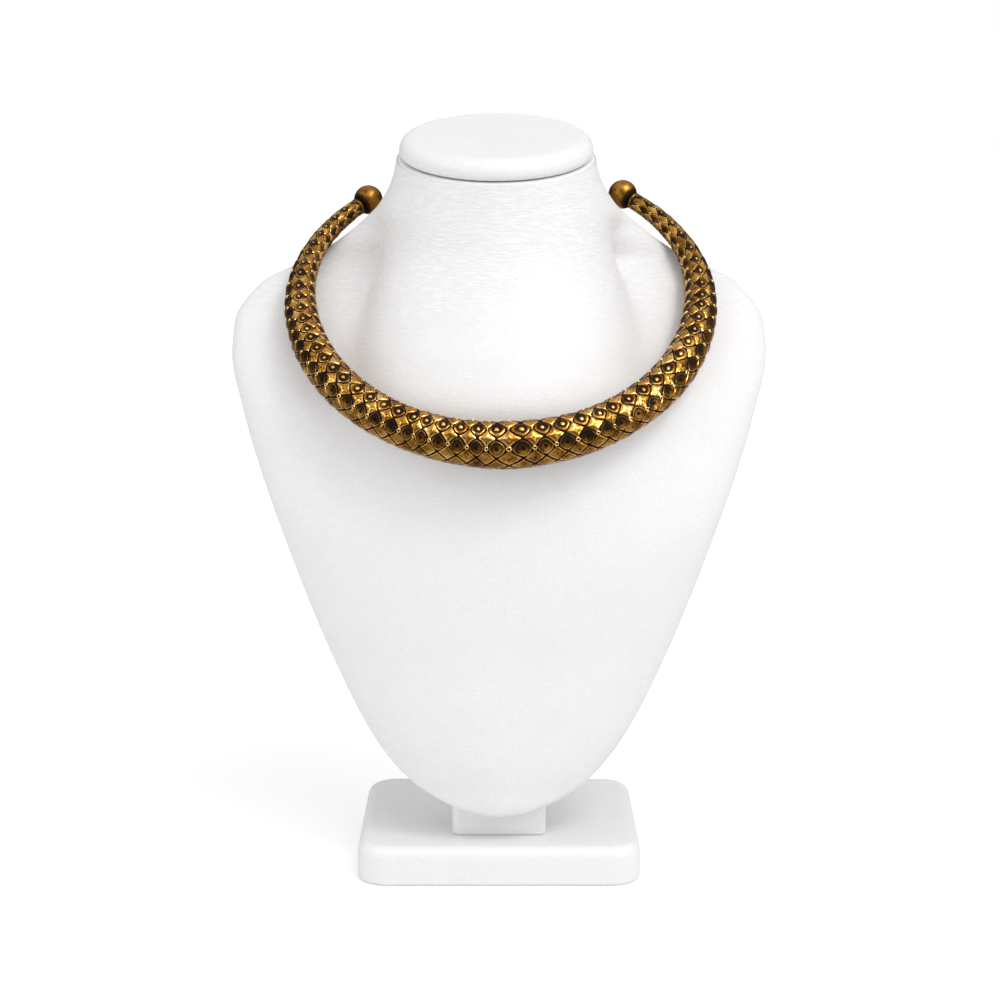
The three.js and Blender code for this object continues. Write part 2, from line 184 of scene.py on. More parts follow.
def newGroup(kind, name, inputs, outputs):
    tree = bpy.data.node_groups.new(name, kind)
    for socketName, socketKind, value in inputs:
        socket = tree.interface.new_socket(socketName, in_out="INPUT", socket_type=socketKind)
        if value is not None:
            socket.default_value = value
    for socketName, socketKind in outputs:
        tree.interface.new_socket(socketName, in_out="OUTPUT", socket_type=socketKind)
    return tree, tree.nodes.new("NodeGroupInput").outputs, tree.nodes.new("NodeGroupOutput").inputs


def addBump(tree, shader, height, distance):
    bump = addNode(tree, "ShaderNodeBump", None, Height=height, Strength=0.6, Distance=distance)
    tree.links.new(bump.outputs[0], shader.inputs["Normal"])


# White leatherette
grain = dict(pebble=1150, crease=(260, 260, 2300), neckFrom=0.185, neckTo=0.215)


def makeGrainGroup():
    tree, given, wanted = newGroup(
        "ShaderNodeTree",
        "leatherGrain",
        [("Creases", "NodeSocketFloat", 1.0)],
        [("Height", "NodeSocketFloat"), ("ShadeAndTone", "NodeSocketFloat")],
    )
    place = addNode(tree, "ShaderNodeTexCoord").outputs["Object"]
    sway = noise(tree, place, 420.0, 2.0, "Color")
    bent = vectors(tree, "ADD", place, scaled(tree, sway, 0.0012))
    pebbles = addNode(
        tree, "ShaderNodeTexVoronoi", {"feature": "DISTANCE_TO_EDGE"}, Vector=bent, Scale=grain["pebble"]
    ).outputs["Distance"]
    pebbles = spread(tree, pebbles, 0.0, 0.32)
    stretched = vectors(tree, "MULTIPLY", bent, grain["crease"])
    creases = addNode(
        tree, "ShaderNodeTexNoise", None, Vector=stretched, Scale=1.0, Detail=3.0, Roughness=0.6
    ).outputs["Fac"]
    creases = spread(tree, creases, 0.38, 0.62)
    height = addNode(tree, "ShaderNodeSeparateXYZ", None, Vector=place).outputs["Z"]
    onNeck = spread(tree, height, grain["neckFrom"], grain["neckTo"], 0.25, 1.0)
    share = maths(tree, "MULTIPLY", onNeck, given["Creases"])
    soft = noise(tree, place, 55.0, 3.0)
    mixed = mix(tree, share, pebbles, creases)
    tree.links.new(maths(tree, "MULTIPLY_ADD", soft, 0.35, mixed), wanted["Height"])
    # painted shade: darker in the hollows of the pebbles and creases, plus random soft tone
    shadeAndTone = maths(tree, "MULTIPLY_ADD", mixed, 0.6, maths(tree, "MULTIPLY", soft, 0.4), clamp=True)
    tree.links.new(shadeAndTone, wanted["ShadeAndTone"])
    return tree


grainGroup = makeGrainGroup()


def makeLeatherette(name, creases, relief, dark, light, roughness):
    material = bpy.data.materials.new(name)
    material.use_nodes = True
    tree = material.node_tree
    shader = tree.nodes["Principled BSDF"]
    group = addNode(tree, "ShaderNodeGroup", {"node_tree": grainGroup}, Creases=creases)
    # the dark end is painted shade in the grain's hollows, mixed with random tone
    colour = ramp(tree, group.outputs["ShadeAndTone"], [(0.2, dark), (0.8, light)])
    tree.links.new(colour, shader.inputs["Base Color"])
    rough = spread(tree, group.outputs["ShadeAndTone"], 0.1, 0.9, roughness + 0.08, roughness)
    tree.links.new(rough, shader.inputs["Roughness"])
    addBump(tree, shader, group.outputs["Height"], relief)
    shader.inputs["Specular IOR Level"].default_value = 0.4
    return material


pale = (0.8, 0.796, 0.797)
shaded = (0.74, 0.735, 0.74)
torsoSkin = makeLeatherette("torsoSkin", creases=1.0, relief=0.00012, dark=shaded, light=pale, roughness=0.5)
capSkin = makeLeatherette("capSkin", creases=0.15, relief=0.00008, dark=shaded, light=pale, roughness=0.45)
footSkin = makeLeatherette(
    "footSkin", creases=0.1, relief=0.00006, dark=(0.75, 0.745, 0.75), light=pale, roughness=0.42
)
print("leatherette ready")

# Base
base = dict(
    width=102,
    depth=86,
    height=14,
    corner=11,
    topRound=4,
    footRound=1.2,
    flatInsets=(3.0, 6.0),  # of the flat faces inside the roundings, below and on top
    roundSteps=8,
    cornerSteps=14,
)


def roundedOutline(width, depth, corner, steps):
    points = []
    for quarter in range(4):
        side = (1 if quarter in (0, 3) else -1, 1 if quarter < 2 else -1)
        for step in range(steps + 1):
            turn = (quarter + step / steps) * math.pi / 2
            x = side[0] * (width / 2 - corner) + corner * math.cos(turn)
            y = side[1] * (depth / 2 - corner) + corner * math.sin(turn)
            points.append((x, y))
    return points


def stackedOutlines(size, levels, steps):  # a closed block, from the inset and height of each outline
    points = []
    for inset, height in levels:
        width, depth, corner = size["width"] - 2 * inset, size["depth"] - 2 * inset, size["corner"] - inset
        points += [(x, y, height) for x, y in roundedOutline(width, depth, corner, steps)]
    around = len(points) // len(levels)
    faces = loftFaces(len(levels), around)
    faces.append(tuple(reversed(range(around))))
    faces.append(tuple(range(len(points) - around, len(points))))
    return points, faces


def makeBase():
    steps = base["roundSteps"]
    turns = [step / steps * math.pi / 2 for step in range(steps + 1)]
    foot, top = base["footRound"], base["topRound"]
    levels = [(base["flatInsets"][0], 0.0)]
    levels += [(foot * (1 - math.sin(turn)), foot * (1 - math.cos(turn))) for turn in turns]
    levels += [(top * (1 - math.cos(turn)), base["height"] - top * (1 - math.sin(turn))) for turn in turns]
    levels.append((base["flatInsets"][1], base["height"]))
    points, faces = stackedOutlines(base, levels, base["cornerSteps"])
    obj = makeObject("baseBlock", points, faces)
    tidyMesh(obj, 60)
    return obj


finishPiece(makeBase(), "base_block", footSkin)

# Post
post = dict(width=34, depth=26, corner=3, forward=15.5, foot=14, length=39, footRound=0.8, cornerSteps=8)


def makePost(name, spare, length, edge):  # spare is how far its sides stand out past the post's
    foot = [(edge, 0.0), (edge * 0.3, edge * 0.3), (0.0, edge)] if edge else [(0.0, 0.0)]
    levels = [(inset - spare, height) for inset, height in foot + [(0.0, length)]]
    points, faces = stackedOutlines(post, levels, post["cornerSteps"])
    points = [(x, y - post["forward"], post["foot"] + z) for x, y, z in points]
    obj = makeObject(name, points, faces)
    tidyMesh(obj, 40)
    return obj


postBlock = makePost("postBlock", 0, post["length"], post["footRound"])
finishPiece(postBlock, "post", footSkin)

# Torso: neck, shoulders and chest shield in one skin
torso = dict(
    foot=23,
    height=233.8,
    halfWidth=98,
    depth=97,
    setBack=14,
    slant=15,
    slantFrom=0.74,
    shift=-1,
    edge=1.2,
    edgeSteps=6,
    flatInset=3,  # of the flat top, in edges
    backPower=2.8,
    joinPower=6,
    around=192,
    slices=12,
    socketGap=0.3,
)
torsoRows = table(
    ["height", "side", "line", "front", "back", "power", "core", "chest", "spine"],
    [
        [0, 0, -0.35, 0, 0, 2.4, 0, -0.35, -0.35],
        [0.012, 0.152, -0.325, 0.065, 0.11, 2.4, 0.1, -0.39, -0.19],
        [0.046, 0.318, -0.26, 0.13, 0.2, 2.4, 0.22, -0.415, -0.03],
        [0.1, 0.441, -0.21, 0.2, 0.26, 2.4, 0.33, -0.435, 0.07],
        [0.23, 0.605, -0.18, 0.245, 0.29, 2.4, 0.46, -0.46, 0.13],
        [0.43, 0.793, -0.15, 0.28, 0.32, 2.4, 0.62, -0.488, 0.19],
        [0.62, 0.952, 0, 0.25, 0.29, 2.4, 0.585, -0.482, 0.3],
        [0.7, 0.998, 0.09, 0.2, 0.24, 2.3, 0.52, -0.415, 0.34],
        [0.745, 0.992, 0.155, 0.17, 0.2, 2.1, 0.495, -0.36, 0.37],
        [0.8, 0.902, 0.245, 0.14, 0.15, 1.9, 0.46, -0.304, 0.405],
        [0.84, 0.69, 0.325, 0.15, 0.11, 1.7, 0.43, -0.271, 0.43],
        [0.88, 0.549, 0.31, 0.2, 0.13, 1.7, 0.41, -0.247, 0.455],
        [0.925, 0.442, 0.22, 0.22, 0.2, 2, 0.397, -0.234, 0.48],
        [0.965, 0.388, 0.16, 0.2, 0.2, 2, 0.381, -0.229, 0.502],
        [1, 0.367, 0.144, 0.2, 0.2, 2, 0.367, -0.227, 0.515],
    ],
)
for torsoRow in torsoRows:
    torsoRow["climb"] = math.sqrt(torsoRow["height"])


def torsoSection(height):
    climb = math.sqrt(height)
    row = {"power": columnAt(torsoRows, "climb", "power", climb)}
    for column in ("side", "core"):
        row[column] = columnAt(torsoRows, "climb", column, climb) * torso["halfWidth"]
    for column in ("line", "front", "back", "chest", "spine"):
        row[column] = columnAt(torsoRows, "climb", column, climb) * torso["depth"]
    rise = max(0, (height - torso["slantFrom"]) / (1 - torso["slantFrom"]))
    ease = rise * rise * (3 - 2 * rise)
    row["slant"] = math.radians(torso["slant"]) * ease
    row["shift"] = torso["shift"] * ease**2
    rest = max(0, row["side"] ** torso["joinPower"] - row["core"] ** torso["joinPower"])
    row["plate"] = rest ** (1 / torso["joinPower"])
    return row


def sectionReach(row, direction):
    x, y = math.cos(direction), math.sin(direction)
    power = row["power"] if y < 0 else torso["backPower"]
    depth = row["front"] if y < 0 else row["back"]
    plate = 0
    if row["plate"] > 0 and depth > 0:
        plate = (abs(x / row["plate"]) ** power + abs(y / depth) ** power) ** (-1 / power)
    halfDepth = (row["spine"] - row["chest"]) / 2
    offset = (row["spine"] + row["chest"]) / 2 - row["line"]
    a = (x / row["core"]) ** 2 + (y / halfDepth) ** 2
    b = y * offset / halfDepth**2
    c = (offset / halfDepth) ** 2 - 1
    middle = (b + math.sqrt(max(0, b * b - a * c))) / a
    return (plate ** torso["joinPower"] + middle ** torso["joinPower"]) ** (1 / torso["joinPower"])


def sectionRing(height, shrink, sink):
    row = torsoSection(height)
    ring = []
    for i in range(torso["around"]):
        direction = i / torso["around"] * 2 * math.pi
        reach = sectionReach(row, direction) - shrink
        back = row["line"] + reach * math.sin(direction) - torso["setBack"]
        ring.append(
            (
                row["shift"] + reach * math.cos(direction),
                torso["setBack"] + back * math.cos(row["slant"]) + sink * math.sin(row["slant"]),
                torso["foot"]
                + height * torso["height"]
                + back * math.sin(row["slant"])
                - sink * math.cos(row["slant"]),
            )
        )
    return ring


def makeTorso():
    climbs = []
    for below, above in zip(torsoRows, torsoRows[1:]):
        for step in range(1, torso["slices"] + 1):
            climbs.append(below["climb"] + (above["climb"] - below["climb"]) * step / torso["slices"])
    climbs.pop()
    rings = [sectionRing(climb**2, 0, 0) for climb in climbs]
    for step in range(torso["edgeSteps"] + 1):
        turn = step / torso["edgeSteps"] * math.pi / 2
        shrink, sink = torso["edge"] * (1 - math.cos(turn)), torso["edge"] * (1 - math.sin(turn))
        rings.append(sectionRing(1, shrink, sink))
    rings.append(sectionRing(1, torso["edge"] * torso["flatInset"], 0))
    around = torso["around"]
    points = [point for ring in rings for point in ring]
    faces = loftFaces(len(rings), around)
    points.append((0, torsoRows[0]["line"] * torso["depth"], torso["foot"]))
    tip = len(points) - 1
    faces += [(tip, (i + 1) % around, i) for i in range(around)]
    faces.append(tuple(range(tip - around, tip)))
    obj = makeObject("bustTorso", points, faces)
    tidyMesh(obj, 60)
    gap = torso["socketGap"]
    cutter = makePost("socketCutter", gap, post["length"] + gap, 0)
    cut = obj.modifiers.new("socket", "BOOLEAN")
    cut.object = cutter
    cut.solver = "EXACT"
    bakeModifiers(obj)
    bpy.data.objects.remove(cutter)
    tidyMesh(obj, 50)
    return obj


finishPiece(makeTorso(), "bust_torso", torsoSkin)

# Cap on the slanted neck
cap = dict(radius=35.17, thickness=7.48, gap=0.3, under=2.2, flatInset=2, rimSteps=16, around=128)


def lathePoints(profile, around):  # profile of radius and height, about Z
    points, faces, rows = [], [], []
    for radius, height in profile:
        if radius == 0:
            rows.append([len(points)] * around)
            points.append((0, 0, height))
            continue
        rows.append(list(range(len(points), len(points) + around)))
        for i in range(around):
            turn = i / around * 2 * math.pi
            points.append((radius * math.cos(turn), radius * math.sin(turn), height))
    for low, high in zip(rows, rows[1:]):
        for i in range(around):
            j = (i + 1) % around
            face = (low[i], low[j], high[j], high[i])
            faces.append(tuple(dict.fromkeys(face)))
    return points, faces


def makeCap():
    under, over = cap["under"], cap["thickness"] - cap["under"]  # heights of the rim's two curves
    flat = cap["radius"] - over - cap["flatInset"]
    profile = [(0, 0), (flat, 0)]
    for step in range(cap["rimSteps"] + 1):
        turn = math.pi * (step / cap["rimSteps"] - 0.5)
        rise = under if turn < 0 else over
        profile.append((cap["radius"] - rise + rise * math.cos(turn), under + rise * math.sin(turn)))
    profile += [(flat, cap["thickness"]), (0, cap["thickness"])]
    points, faces = lathePoints(profile, cap["around"])
    top = (torso["shift"], torso["setBack"], torso["foot"] + torso["height"])
    lean = Matrix.Translation(top) @ Matrix.Rotation(math.radians(torso["slant"]), 4, "X")
    points = [lean @ Vector((x, y, z + cap["gap"])) for x, y, z in points]
    obj = makeObject("neckCap", points, faces)
    tidyMesh(obj, 60)
    return obj


finishPiece(makeCap(), "neck_cap", capSkin)

# Collar: path, taper and the columns of its lattice, as in the CAD
collar = dict(
    halfWidth=72.3,
    front=78,
    back=70.8,
    end=138.3,
    tilt=37.5,
    turn=1.9,
    shift=0.5,
    setBack=5.4,
    lift=208.777,
    radius=8.42,
    wall=0.9,
    grooveDepth=0.55,
)
lattice = dict(
    rows=7,
    start=35,
    cellLengths=(6, 6.9),  # left and right of the front
    jointEvery=10,
    jointWidths=(1.3, 0.75),
    guideSteps=8,  # guide points to a half column
    boreStep=2,  # half columns from one ring of the bore to the next
    lowered=0.08,  # so that the tops stay within the CAD's
    wobble=0.0005,
    mergeWithin=8e-6,
)
finial = dict(
    ball=5.45,
    ring=3.25,
    ringLength=1.5,
    neck=2.6,
    stem=4,
    play=0.45,
    gap=0.3,
    ringSteps=8,
    ballSteps=24,
    around=48,
    tarnishPast=0.3,  # middle of the tarnish that stays by the neck, past the ring
    tarnishReach=1.5,
    leastBare=0.1,
    mostBare=0.95,
    barePower=0.7,
)
taper = table(["along", "radius"], [[0, 1], [0.2, 0.9], [0.4, 0.84], [0.6, 0.735], [0.8, 0.495], [1, 0.365]])
collarPlace = (
    Matrix.Translation((collar["shift"], collar["setBack"], collar["lift"]))
    @ Matrix.Rotation(math.radians(collar["tilt"]), 4, "X")
    @ Matrix.Rotation(math.radians(collar["turn"]), 4, "Z")
)


def makePath():
    steps = 1440
    points, lengths = [], [0.0]
    for step in range(steps + 1):
        turn = math.radians(collar["end"]) * (2 * step / steps - 1)
        reach = collar["front"] if math.cos(turn) > 0 else collar["back"]
        points.append(Vector((collar["halfWidth"] * math.sin(turn), -reach * math.cos(turn), 0)))
        if step:
            lengths.append(lengths[-1] + (points[-1] - points[-2]).length)
    return points, lengths


pathPoints, pathLengths = makePath()
pathTotal = pathLengths[-1]


def pathAt(length):
    low, high = 0, len(pathLengths) - 2
    while low < high:
        middle = (low + high + 1) // 2
        if pathLengths[middle] <= length:
            low = middle
        else:
            high = middle - 1
    along = (pathPoints[low + 1] - pathPoints[low]).normalized()
    share = (length - pathLengths[low]) / (pathLengths[low + 1] - pathLengths[low])
    point = pathPoints[low].lerp(pathPoints[low + 1], share)
    return point, along, Vector((along.y, -along.x, 0))


def tubeRadius(length):
    along = min(1, abs(2 * length / pathTotal - 1))
    return columnAt(taper, "along", "radius", along) * collar["radius"]


finialReach = math.sqrt(finial["ball"] ** 2 - finial["neck"] ** 2) + finial["ringLength"] + finial["gap"]
tubeStart, tubeEnd = finialReach, pathTotal - finialReach


def columnWidth(fromFront):
    joint = round(fromFront / lattice["jointEvery"])
    if abs(fromFront - joint * lattice["jointEvery"]) >= 1:
        return 1
    return lattice["jointWidths"][joint % len(lattice["jointWidths"])]


def sideReaches(cellLength):
    length = (tubeEnd - tubeStart) / 2
    columns = 2 * round(length / cellLength - 0.5) + 1
    widths = [columnWidth(column + 0.5) for column in range(columns)]
    return [sum(widths[: k + 1]) / sum(widths) * length for k in range(columns)]


def makeColumns():
    front = (tubeStart + tubeEnd) / 2
    left, right = [sideReaches(cellLength) for cellLength in lattice["cellLengths"]]
    return [front - reach for reach in reversed(left)] + [front] + [front + reach for reach in right]


columnPlaces = makeColumns()
columnCount = len(columnPlaces) - 1
print("collar lattice", columnCount, "half columns")


def guideAt(column):
    low = min(int(column), columnCount - 1)
    return columnPlaces[low] + (columnPlaces[low + 1] - columnPlaces[low]) * (column - low)


def makeGuide():
    mesh = bpy.data.meshes.new("collarGuide")
    steps = lattice["guideSteps"]
    stations = [guideAt(k / steps) for k in range(columnCount * steps + 1)]
    mesh.from_pydata([pathAt(s)[0] * mm for s in stations], [], [])
    mesh.attributes.new("outward", "FLOAT_VECTOR", "POINT")
    mesh.attributes.new("tubeRadius", "FLOAT", "POINT")
    for i, station in enumerate(stations):
        mesh.attributes["outward"].data[i].vector = pathAt(station)[2]
        mesh.attributes["tubeRadius"].data[i].value = tubeRadius(station) * mm
    obj = bpy.data.objects.new("collarGuide", mesh)
    scene.collection.objects.link(obj)
    return obj


# Relief tiles, one half cell to a unit, heights in millimetres at the front of the collar.
# Each ring: reach along and across, power of its outline, height between the points and at the
# points, and how bare of tarnish it is. The lower side of each tile is then painted barer, a painted light
# from above.
grooveRing = (1.0, 1.0, 1.0, -0.75, -0.66, -0.6)
tileRings = dict(
    star=[
        grooveRing,
        (0.84, 0.84, 0.82, -0.34, -0.2, 1.0),
        (0.62, 0.62, 0.74, -0.3, -0.03, 0.74),
        (0.26, 0.26, 0.8, -0.1, 0.0, 0.86),
    ],
    pillow=[
        grooveRing,
        (0.82, 0.82, 0.98, -0.28, -0.28, 0.95),
        (0.58, 0.58, 1.05, -0.12, -0.12, 0.66),
        (0.26, 0.26, 1.2, 0.02, 0.02, 0.76),
    ],
    eye=[
        grooveRing,
        (0.7, 0.76, 1.6, -0.12, -0.12, 0.8),
        (0.56, 0.61, 1.7, -0.34, -0.34, 0.36),
        (0.33, 0.38, 2.0, -0.42, -0.42, 0.52),
        (0.17, 0.19, 2.0, -0.4, -0.4, 0.42),
    ],
    boss=[
        grooveRing,
        (0.74, 0.74, 1.7, -0.2, -0.2, 0.74),
        (0.46, 0.46, 2.0, -0.42, -0.42, 0.32),
        (0.3, 0.3, 2.0, -0.36, -0.36, 0.12),
        (0.19, 0.19, 2.0, -0.1, -0.1, 0.7),
    ],
)
tileCentres = dict(star=(-0.12, 0.35), pillow=(-0.05, 0.5), eye=(-0.8, -0.8), boss=(-0.02, 1.4))
lowerSidePaintedLight = dict(star=0.1, pillow=0.1, eye=0.38, boss=0.3)  # painted light: how much barer, so lighter, the lower side is painted, as if lit from above
tileKinds = ["star", "pillow", "eye", "boss", "granule", "bead"]
rowKinds = ["eye", "star", "boss", "pillow", "eye", "star", "boss"]  # half rows, up from the start
rowKinds += ["star", "boss", "star", "eye", "star", "pillow", "pillow"]
tileSides = 12
ridgeSharpness = 3
granule = dict(radius=0.17, wire=0.085, middle=-0.28, rise=0.34, sides=10, wireSides=4, bare=(1.6, 0.3))
bead = dict(
    profile=[(0, -0.9), (0.12, -0.6), (0.11, -0.25), (0.06, -0.1), (0, -0.07)],
    sides=8,
    bareAbove=-0.4,
    bare=(0.9, 0.1),
)


def addBare(obj, values):
    obj.data.attributes.new("bare", "FLOAT", "POINT").data.foreach_set("value", values)


def makeTile(kind):
    points, bare = [], []
    for along, across, power, between, atPoints, ringBare in tileRings[kind]:
        for i in range(tileSides):
            turn = i / tileSides * 2 * math.pi
            x, y = math.cos(turn), math.sin(turn)
            reach = 1 / (abs(x) ** power + abs(y) ** power) ** (1 / power)
            ridge = abs(math.cos(2 * turn)) ** ridgeSharpness
            points.append((x * reach * along, y * reach * across, between + (atPoints - between) * ridge))
            # painted light: the tile's lower side is painted lighter, as if lit from above; the ring's own
            # value is its tarnish
            bare.append(ringBare - lowerSidePaintedLight[kind] * y * reach * across)
    rings = len(tileRings[kind])
    faces = loftFaces(rings, tileSides)
    height, centreBare = tileCentres[kind]
    points.append((0, 0, height))
    bare.append(centreBare)
    last = (rings - 1) * tileSides
    faces += [(last + i, last + (i + 1) % tileSides, len(points) - 1) for i in range(tileSides)]
    obj = makeObject("tile" + kind.capitalize(), points, faces, 1)
    addBare(obj, bare)
    return obj


def makeGranule():  # a little ring between two eyes
    sides, wireSides = granule["sides"], granule["wireSides"]
    points, faces = [], []
    for i in range(sides):
        turn = i / sides * 2 * math.pi
        for k in range(wireSides):
            roll = (k / wireSides + 0.25) * 2 * math.pi
            reach = granule["radius"] + granule["wire"] * math.cos(roll)
            height = granule["middle"] + granule["rise"] * math.sin(roll)
            points.append((reach * math.cos(turn), reach * math.sin(turn), height))
    for i in range(sides):
        for k in range(wireSides):
            a, b = i * wireSides, (i + 1) % sides * wireSides
            faces.append((a + k, b + k, b + (k + 1) % wireSides, a + (k + 1) % wireSides))
    obj = makeObject("tileGranule", points, faces, 1)
    lowest = granule["middle"] - granule["rise"]
    addBare(obj, [granule["bare"][p[2] < (lowest + granule["middle"]) / 2] for p in points])
    return obj


def makeBead():  # a solid dot between two bosses
    points, faces = lathePoints(bead["profile"], bead["sides"])
    obj = makeObject("tileBead", points, faces, 1)
    addBare(obj, [bead["bare"][p[2] <= bead["bareAbove"]] for p in points])
    return obj


def makeLatticePoints():
    rows = 2 * lattice["rows"]
    points, kinds = [], []
    for column in range(columnCount + 1):
        for row in range(rows):
            kind = rowKinds[row % len(rowKinds)]
            if (row + column) % 2:
                if row % 2 or kind == "pillow" or column in (0, columnCount):
                    continue
                kind = "granule" if kind == "eye" else "bead"
            points.append((column, row, 0))
            kinds.append(tileKinds.index(kind))
    obj = makeObject("collarTube", points, [], 1)
    obj.data.attributes.new("kind", "INT", "POINT").data.foreach_set("value", kinds)
    return obj


def attribute(tree, kind, name):
    node = addNode(tree, "GeometryNodeInputNamedAttribute", {"data_type": kind}, Name=name)
    return node.outputs["Attribute"]


def makeReliefTree():
    inputs = [("Geometry", "NodeSocketGeometry", None), ("Guide", "NodeSocketObject", None)]
    inputs += [(kind.capitalize(), "NodeSocketObject", None) for kind in tileKinds]
    inputs += [
        ("Guide Steps", "NodeSocketFloat", 8.0),
        ("Columns", "NodeSocketFloat", 100.0),
        ("Start Angle", "NodeSocketFloat", 0.6),
        ("Row Angle", "NodeSocketFloat", 0.45),
        ("Full Radius", "NodeSocketFloat", 8.42),
        ("Lowered", "NodeSocketFloat", 0.08),
        ("Wobble", "NodeSocketFloat", 0.0002),
        ("Material", "NodeSocketMaterial", None),
    ]
    outputs = [("Geometry", "NodeSocketGeometry")]
    tree, given, wanted = newGroup("GeometryNodeTree", "collarRelief", inputs, outputs)
    join = tree.nodes.new("GeometryNodeJoinGeometry")
    kindField = attribute(tree, "INT", "kind")
    for number, kind in enumerate(tileKinds):
        tile = addNode(tree, "GeometryNodeObjectInfo", None, Object=given[kind.capitalize()])
        chosen = tree.nodes.new("FunctionNodeCompare")
        chosen.data_type = "INT"
        chosen.operation = "EQUAL"
        tree.links.new(kindField, chosen.inputs[2])
        chosen.inputs[3].default_value = number
        tiles = addNode(
            tree,
            "GeometryNodeInstanceOnPoints",
            None,
            Points=given["Geometry"],
            Selection=chosen.outputs[0],
            Instance=tile.outputs["Geometry"],
        )
        tree.links.new(tiles.outputs[0], join.inputs[0])
    flat = addNode(tree, "GeometryNodeRealizeInstances", None, Geometry=join.outputs[0]).outputs[0]

    # cut off past the tube's ends
    position = tree.nodes.new("GeometryNodeInputPosition").outputs[0]
    u, v, height = addNode(tree, "ShaderNodeSeparateXYZ", None, Vector=position).outputs
    before = maths(tree, "LESS_THAN", u, -0.001)
    after = maths(tree, "GREATER_THAN", u, maths(tree, "ADD", given["Columns"], 0.001))
    outside = maths(tree, "ADD", before, after)
    kept = addNode(
        tree, "GeometryNodeDeleteGeometry", {"domain": "FACE"}, Geometry=flat, Selection=outside
    ).outputs[0]
    marked = addNode(
        tree, "GeometryNodeStoreNamedAttribute", {"data_type": "FLOAT"}, Geometry=kept, Name="column", Value=u
    ).outputs[0]

    # wrapped round the guide
    at = maths(tree, "MULTIPLY", u, given["Guide Steps"])
    share = maths(tree, "FRACT", at)
    low = maths(tree, "FLOOR", maths(tree, "ADD", at, 1e-4))
    high = maths(tree, "CEIL", maths(tree, "SUBTRACT", at, 1e-4))
    guide = addNode(tree, "GeometryNodeObjectInfo", None, Object=given["Guide"]).outputs["Geometry"]

    def sample(kind, field):
        settings = {"data_type": kind, "clamp": True}
        ends = []
        for index in (low, high):
            node = addNode(tree, "GeometryNodeSampleIndex", settings, Geometry=guide, Value=field)
            tree.links.new(index, node.inputs["Index"])
            ends.append(node.outputs[0])
        return ends

    def blended(ends):
        step = vectors(tree, "SUBTRACT", ends[1], ends[0])
        return vectors(tree, "ADD", ends[0], scaled(tree, step, share))

    centre = blended(sample("FLOAT_VECTOR", position))
    outward = blended(sample("FLOAT_VECTOR", attribute(tree, "FLOAT_VECTOR", "outward")))
    outward = vectors(tree, "NORMALIZE", outward)
    radii = sample("FLOAT", attribute(tree, "FLOAT", "tubeRadius"))
    radius = maths(tree, "MULTIPLY_ADD", maths(tree, "SUBTRACT", radii[1], radii[0]), share, radii[0])
    lowered = maths(tree, "SUBTRACT", height, given["Lowered"])
    swell = maths(tree, "ADD", maths(tree, "DIVIDE", lowered, given["Full Radius"]), 1.0)
    reach = maths(tree, "MULTIPLY", radius, swell)
    angle = maths(tree, "MULTIPLY_ADD", v, given["Row Angle"], given["Start Angle"])
    sideways = scaled(tree, outward, maths(tree, "MULTIPLY", reach, maths(tree, "COSINE", angle)))
    upwards = addNode(
        tree, "ShaderNodeCombineXYZ", None, Z=maths(tree, "MULTIPLY", reach, maths(tree, "SINE", angle))
    ).outputs[0]
    wrapped = vectors(tree, "ADD", centre, vectors(tree, "ADD", sideways, upwards))
    shaped = addNode(tree, "GeometryNodeSetPosition", None, Geometry=marked, Position=wrapped).outputs[0]

    # unevenness of the casting
    uneven = noise(tree, position, 330.0, 1.0, "Color")
    push = scaled(tree, vectors(tree, "SUBTRACT", uneven, (0.5, 0.5, 0.5)), given["Wobble"])
    shaped = addNode(tree, "GeometryNodeSetPosition", None, Geometry=shaped, Offset=push).outputs[0]
    within = lattice["mergeWithin"]
    merged = addNode(tree, "GeometryNodeMergeByDistance", None, Geometry=shaped, Distance=within).outputs[0]
    whole = addNode(tree, "GeometryNodeRealizeInstances", None, Geometry=merged).outputs[0]
    painted = addNode(tree, "GeometryNodeSetMaterial", None, Geometry=whole, Material=given["Material"])
    tree.links.new(painted.outputs[0], wanted["Geometry"])
    return tree


def boreRadius(length):
    return tubeRadius(length) * (1 - collar["grooveDepth"] / collar["radius"]) - collar["wall"]


def rimTurn(vert, station):  # from the outer edge upwards
    centre, _, outward = pathAt(station)
    offset = vert.co / mm - centre
    return math.atan2(offset.z, offset.dot(outward)) % (2 * math.pi)


def addBore(obj):  # the inner wall, from one end's edge to the other's
    bm = bmesh.new()
    bm.from_mesh(obj.data)
    columnLayer = bm.verts.layers.float["column"]
    rim = {v for e in bm.edges if e.is_boundary for v in e.verts}
    starts = sorted((v for v in rim if v[columnLayer] < 0.5), key=lambda v: rimTurn(v, tubeStart))
    ends = sorted((v for v in rim if v[columnLayer] > 0.5), key=lambda v: rimTurn(v, tubeEnd))
    print("bore rims", len(starts), len(ends))
    turns = [rimTurn(v, tubeStart) for v in starts]

    def boreRing(column):
        length = guideAt(column)
        centre, _, outward = pathAt(length)
        radius = boreRadius(length)
        ring = []
        for turn in turns:
            place = centre + outward * radius * math.cos(turn) + Vector((0, 0, radius * math.sin(turn)))
            ring.append(bm.verts.new(place * mm))
        return ring

    columns = range(0, columnCount + 1, lattice["boreStep"])
    rings = [starts] + [boreRing(column) for column in columns] + [ends]
    for low, high in zip(rings, rings[1:]):
        for i in range(len(low)):
            j = (i + 1) % len(low)
            bm.faces.new((low[i], low[j], high[j], high[i]))
    bmesh.ops.recalc_face_normals(bm, faces=bm.faces)
    bm.to_mesh(obj.data)
    bm.free()


# Antique brass
patina = dict(blotch=210.0, fine=1500.0, pit=640.0, darkest=0.7, brightest=1.95, relief=0.00014)


